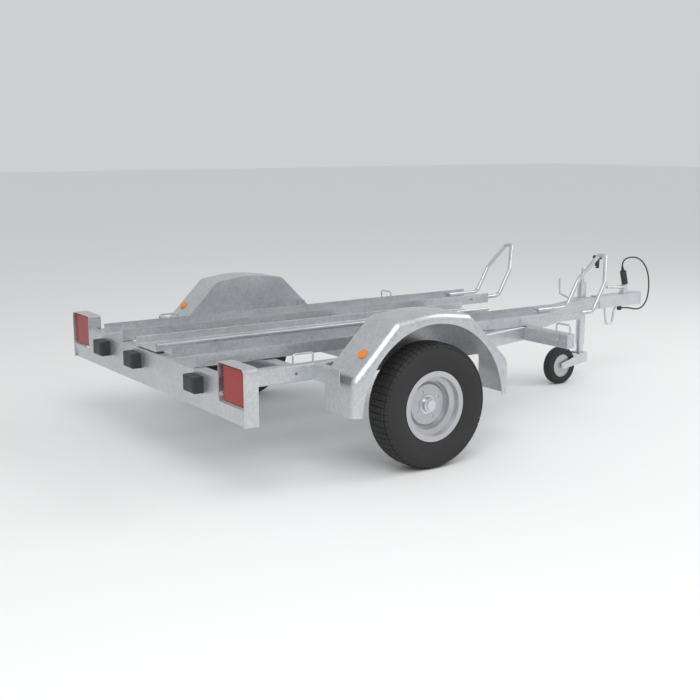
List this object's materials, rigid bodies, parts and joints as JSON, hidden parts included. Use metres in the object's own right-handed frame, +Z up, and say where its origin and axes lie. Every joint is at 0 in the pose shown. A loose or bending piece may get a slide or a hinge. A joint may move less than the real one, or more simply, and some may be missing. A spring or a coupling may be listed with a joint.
{
  "type": "motorcycle trailer",
  "caption": "Single-axle trailer with channel rails for motorcycles, stowed loading ramp, front wheel hoops, mudguards, ball coupling and jockey wheel.",
  "frame": {"origin": "on the ground, at the middle of the trailer's length and width", "axes": "+X forward to the coupling, +Y to the trailer's left, +Z up"},
  "size_m": [3.086, 1.676, 0.7453],
  "materials": {
    "tyre_rubber": "matte",
    "red_lens": "gloss",
    "amber_reflector": "gloss",
    "black_plastic": "satin",
    "wheel_silver": "satin",
    "bright_zinc": "satin",
    "galvanised_steel": "satin"
  },
  "bodies": {
    "frame": {"axle_arm_left": "galvanised_steel", "axle_arm_right": "galvanised_steel", "axle_beam": "galvanised_steel", "axle_brackets": "galvanised_steel", "cable_clip": "black_plastic", "clamp_lever": "bright_zinc", "coupling_head": "galvanised_steel", "coupling_lever": "bright_zinc", "crank_grip": "black_plastic", "drawbar": "galvanised_steel", "front_cross_member": "galvanised_steel", "front_wheel_hoop_left": "bright_zinc", "front_wheel_hoop_right": "bright_zinc", "jockey_clamp": "galvanised_steel", "jockey_crank": "bright_zinc", "jockey_outer_tube": "galvanised_steel", "lamp_hood_left": "galvanised_steel", "lamp_hood_right": "galvanised_steel", "light_bar": "galvanised_steel", "middle_cross_member": "galvanised_steel", "mudguard_left": "galvanised_steel", "mudguard_outrigger_left": "galvanised_steel", "mudguard_outrigger_right": "galvanised_steel", "mudguard_panel_left": "galvanised_steel", "mudguard_panel_right": "galvanised_steel", "mudguard_right": "galvanised_steel", "mudguard_stay_left": "galvanised_steel", "mudguard_stay_right": "galvanised_steel", "number_plate_lamps": "black_plastic", "plug": "black_plastic", "plug_cable": "black_plastic", "rail_gusset_left": "galvanised_steel", "rail_gusset_right": "galvanised_steel", "ramp_guides": "black_plastic", "rear_cross_member": "galvanised_steel", "safety_loop": "bright_zinc", "side_rail_left": "galvanised_steel", "side_rail_right": "galvanised_steel", "side_reflectors": "amber_reflector", "tail_lamp_body_left": "black_plastic", "tail_lamp_body_right": "black_plastic", "tail_lamp_lens_left": "red_lens", "tail_lamp_lens_right": "red_lens", "tie_down_hoops": "bright_zinc", "wheel_rail_left": "galvanised_steel", "wheel_rail_right": "galvanised_steel"},
    "wheel_left": {"tyre_left": "tyre_rubber", "rim_left": "wheel_silver", "hub_left": "wheel_silver"},
    "wheel_right": {"tyre_right": "tyre_rubber", "rim_right": "wheel_silver", "hub_right": "wheel_silver"},
    "jockey_leg": {"jockey_leg": "galvanised_steel"},
    "jockey_fork": {"jockey_fork": "galvanised_steel"},
    "jockey_wheel": {"jockey_rim": "wheel_silver", "jockey_tyre": "tyre_rubber"},
    "loading_ramp": {"loading_ramp": "galvanised_steel"}
  },
  "joints": [
    {"name": "wheel_left_spin", "type": "hinge", "parent": "frame", "child": "wheel_left", "pos_m": [-0.5975, 0.77, 0.257], "axis": [0, 1, 0], "continuous": true},
    {"name": "wheel_right_spin", "type": "hinge", "parent": "frame", "child": "wheel_right", "pos_m": [-0.5975, -0.77, 0.257], "axis": [0, 1, 0], "continuous": true},
    {"name": "jockey_height", "type": "slide", "parent": "frame", "child": "jockey_leg", "axis": [0, 0, 1], "range_m": [-0.11, 0.04]},
    {"name": "jockey_swivel", "type": "hinge", "parent": "jockey_leg", "child": "jockey_fork", "pos_m": [1.1185, 0.058, 0.158], "axis": [0, 0, 1], "continuous": true},
    {"name": "jockey_wheel_spin", "type": "hinge", "parent": "jockey_fork", "child": "jockey_wheel", "pos_m": [0.9665, 0.058, 0.1], "axis": [0, 1, 0], "continuous": true},
    {"name": "ramp_slide", "type": "slide", "parent": "frame", "child": "loading_ramp", "axis": [-1, 0, 0], "range_m": [0, 1.2]}
  ]
}
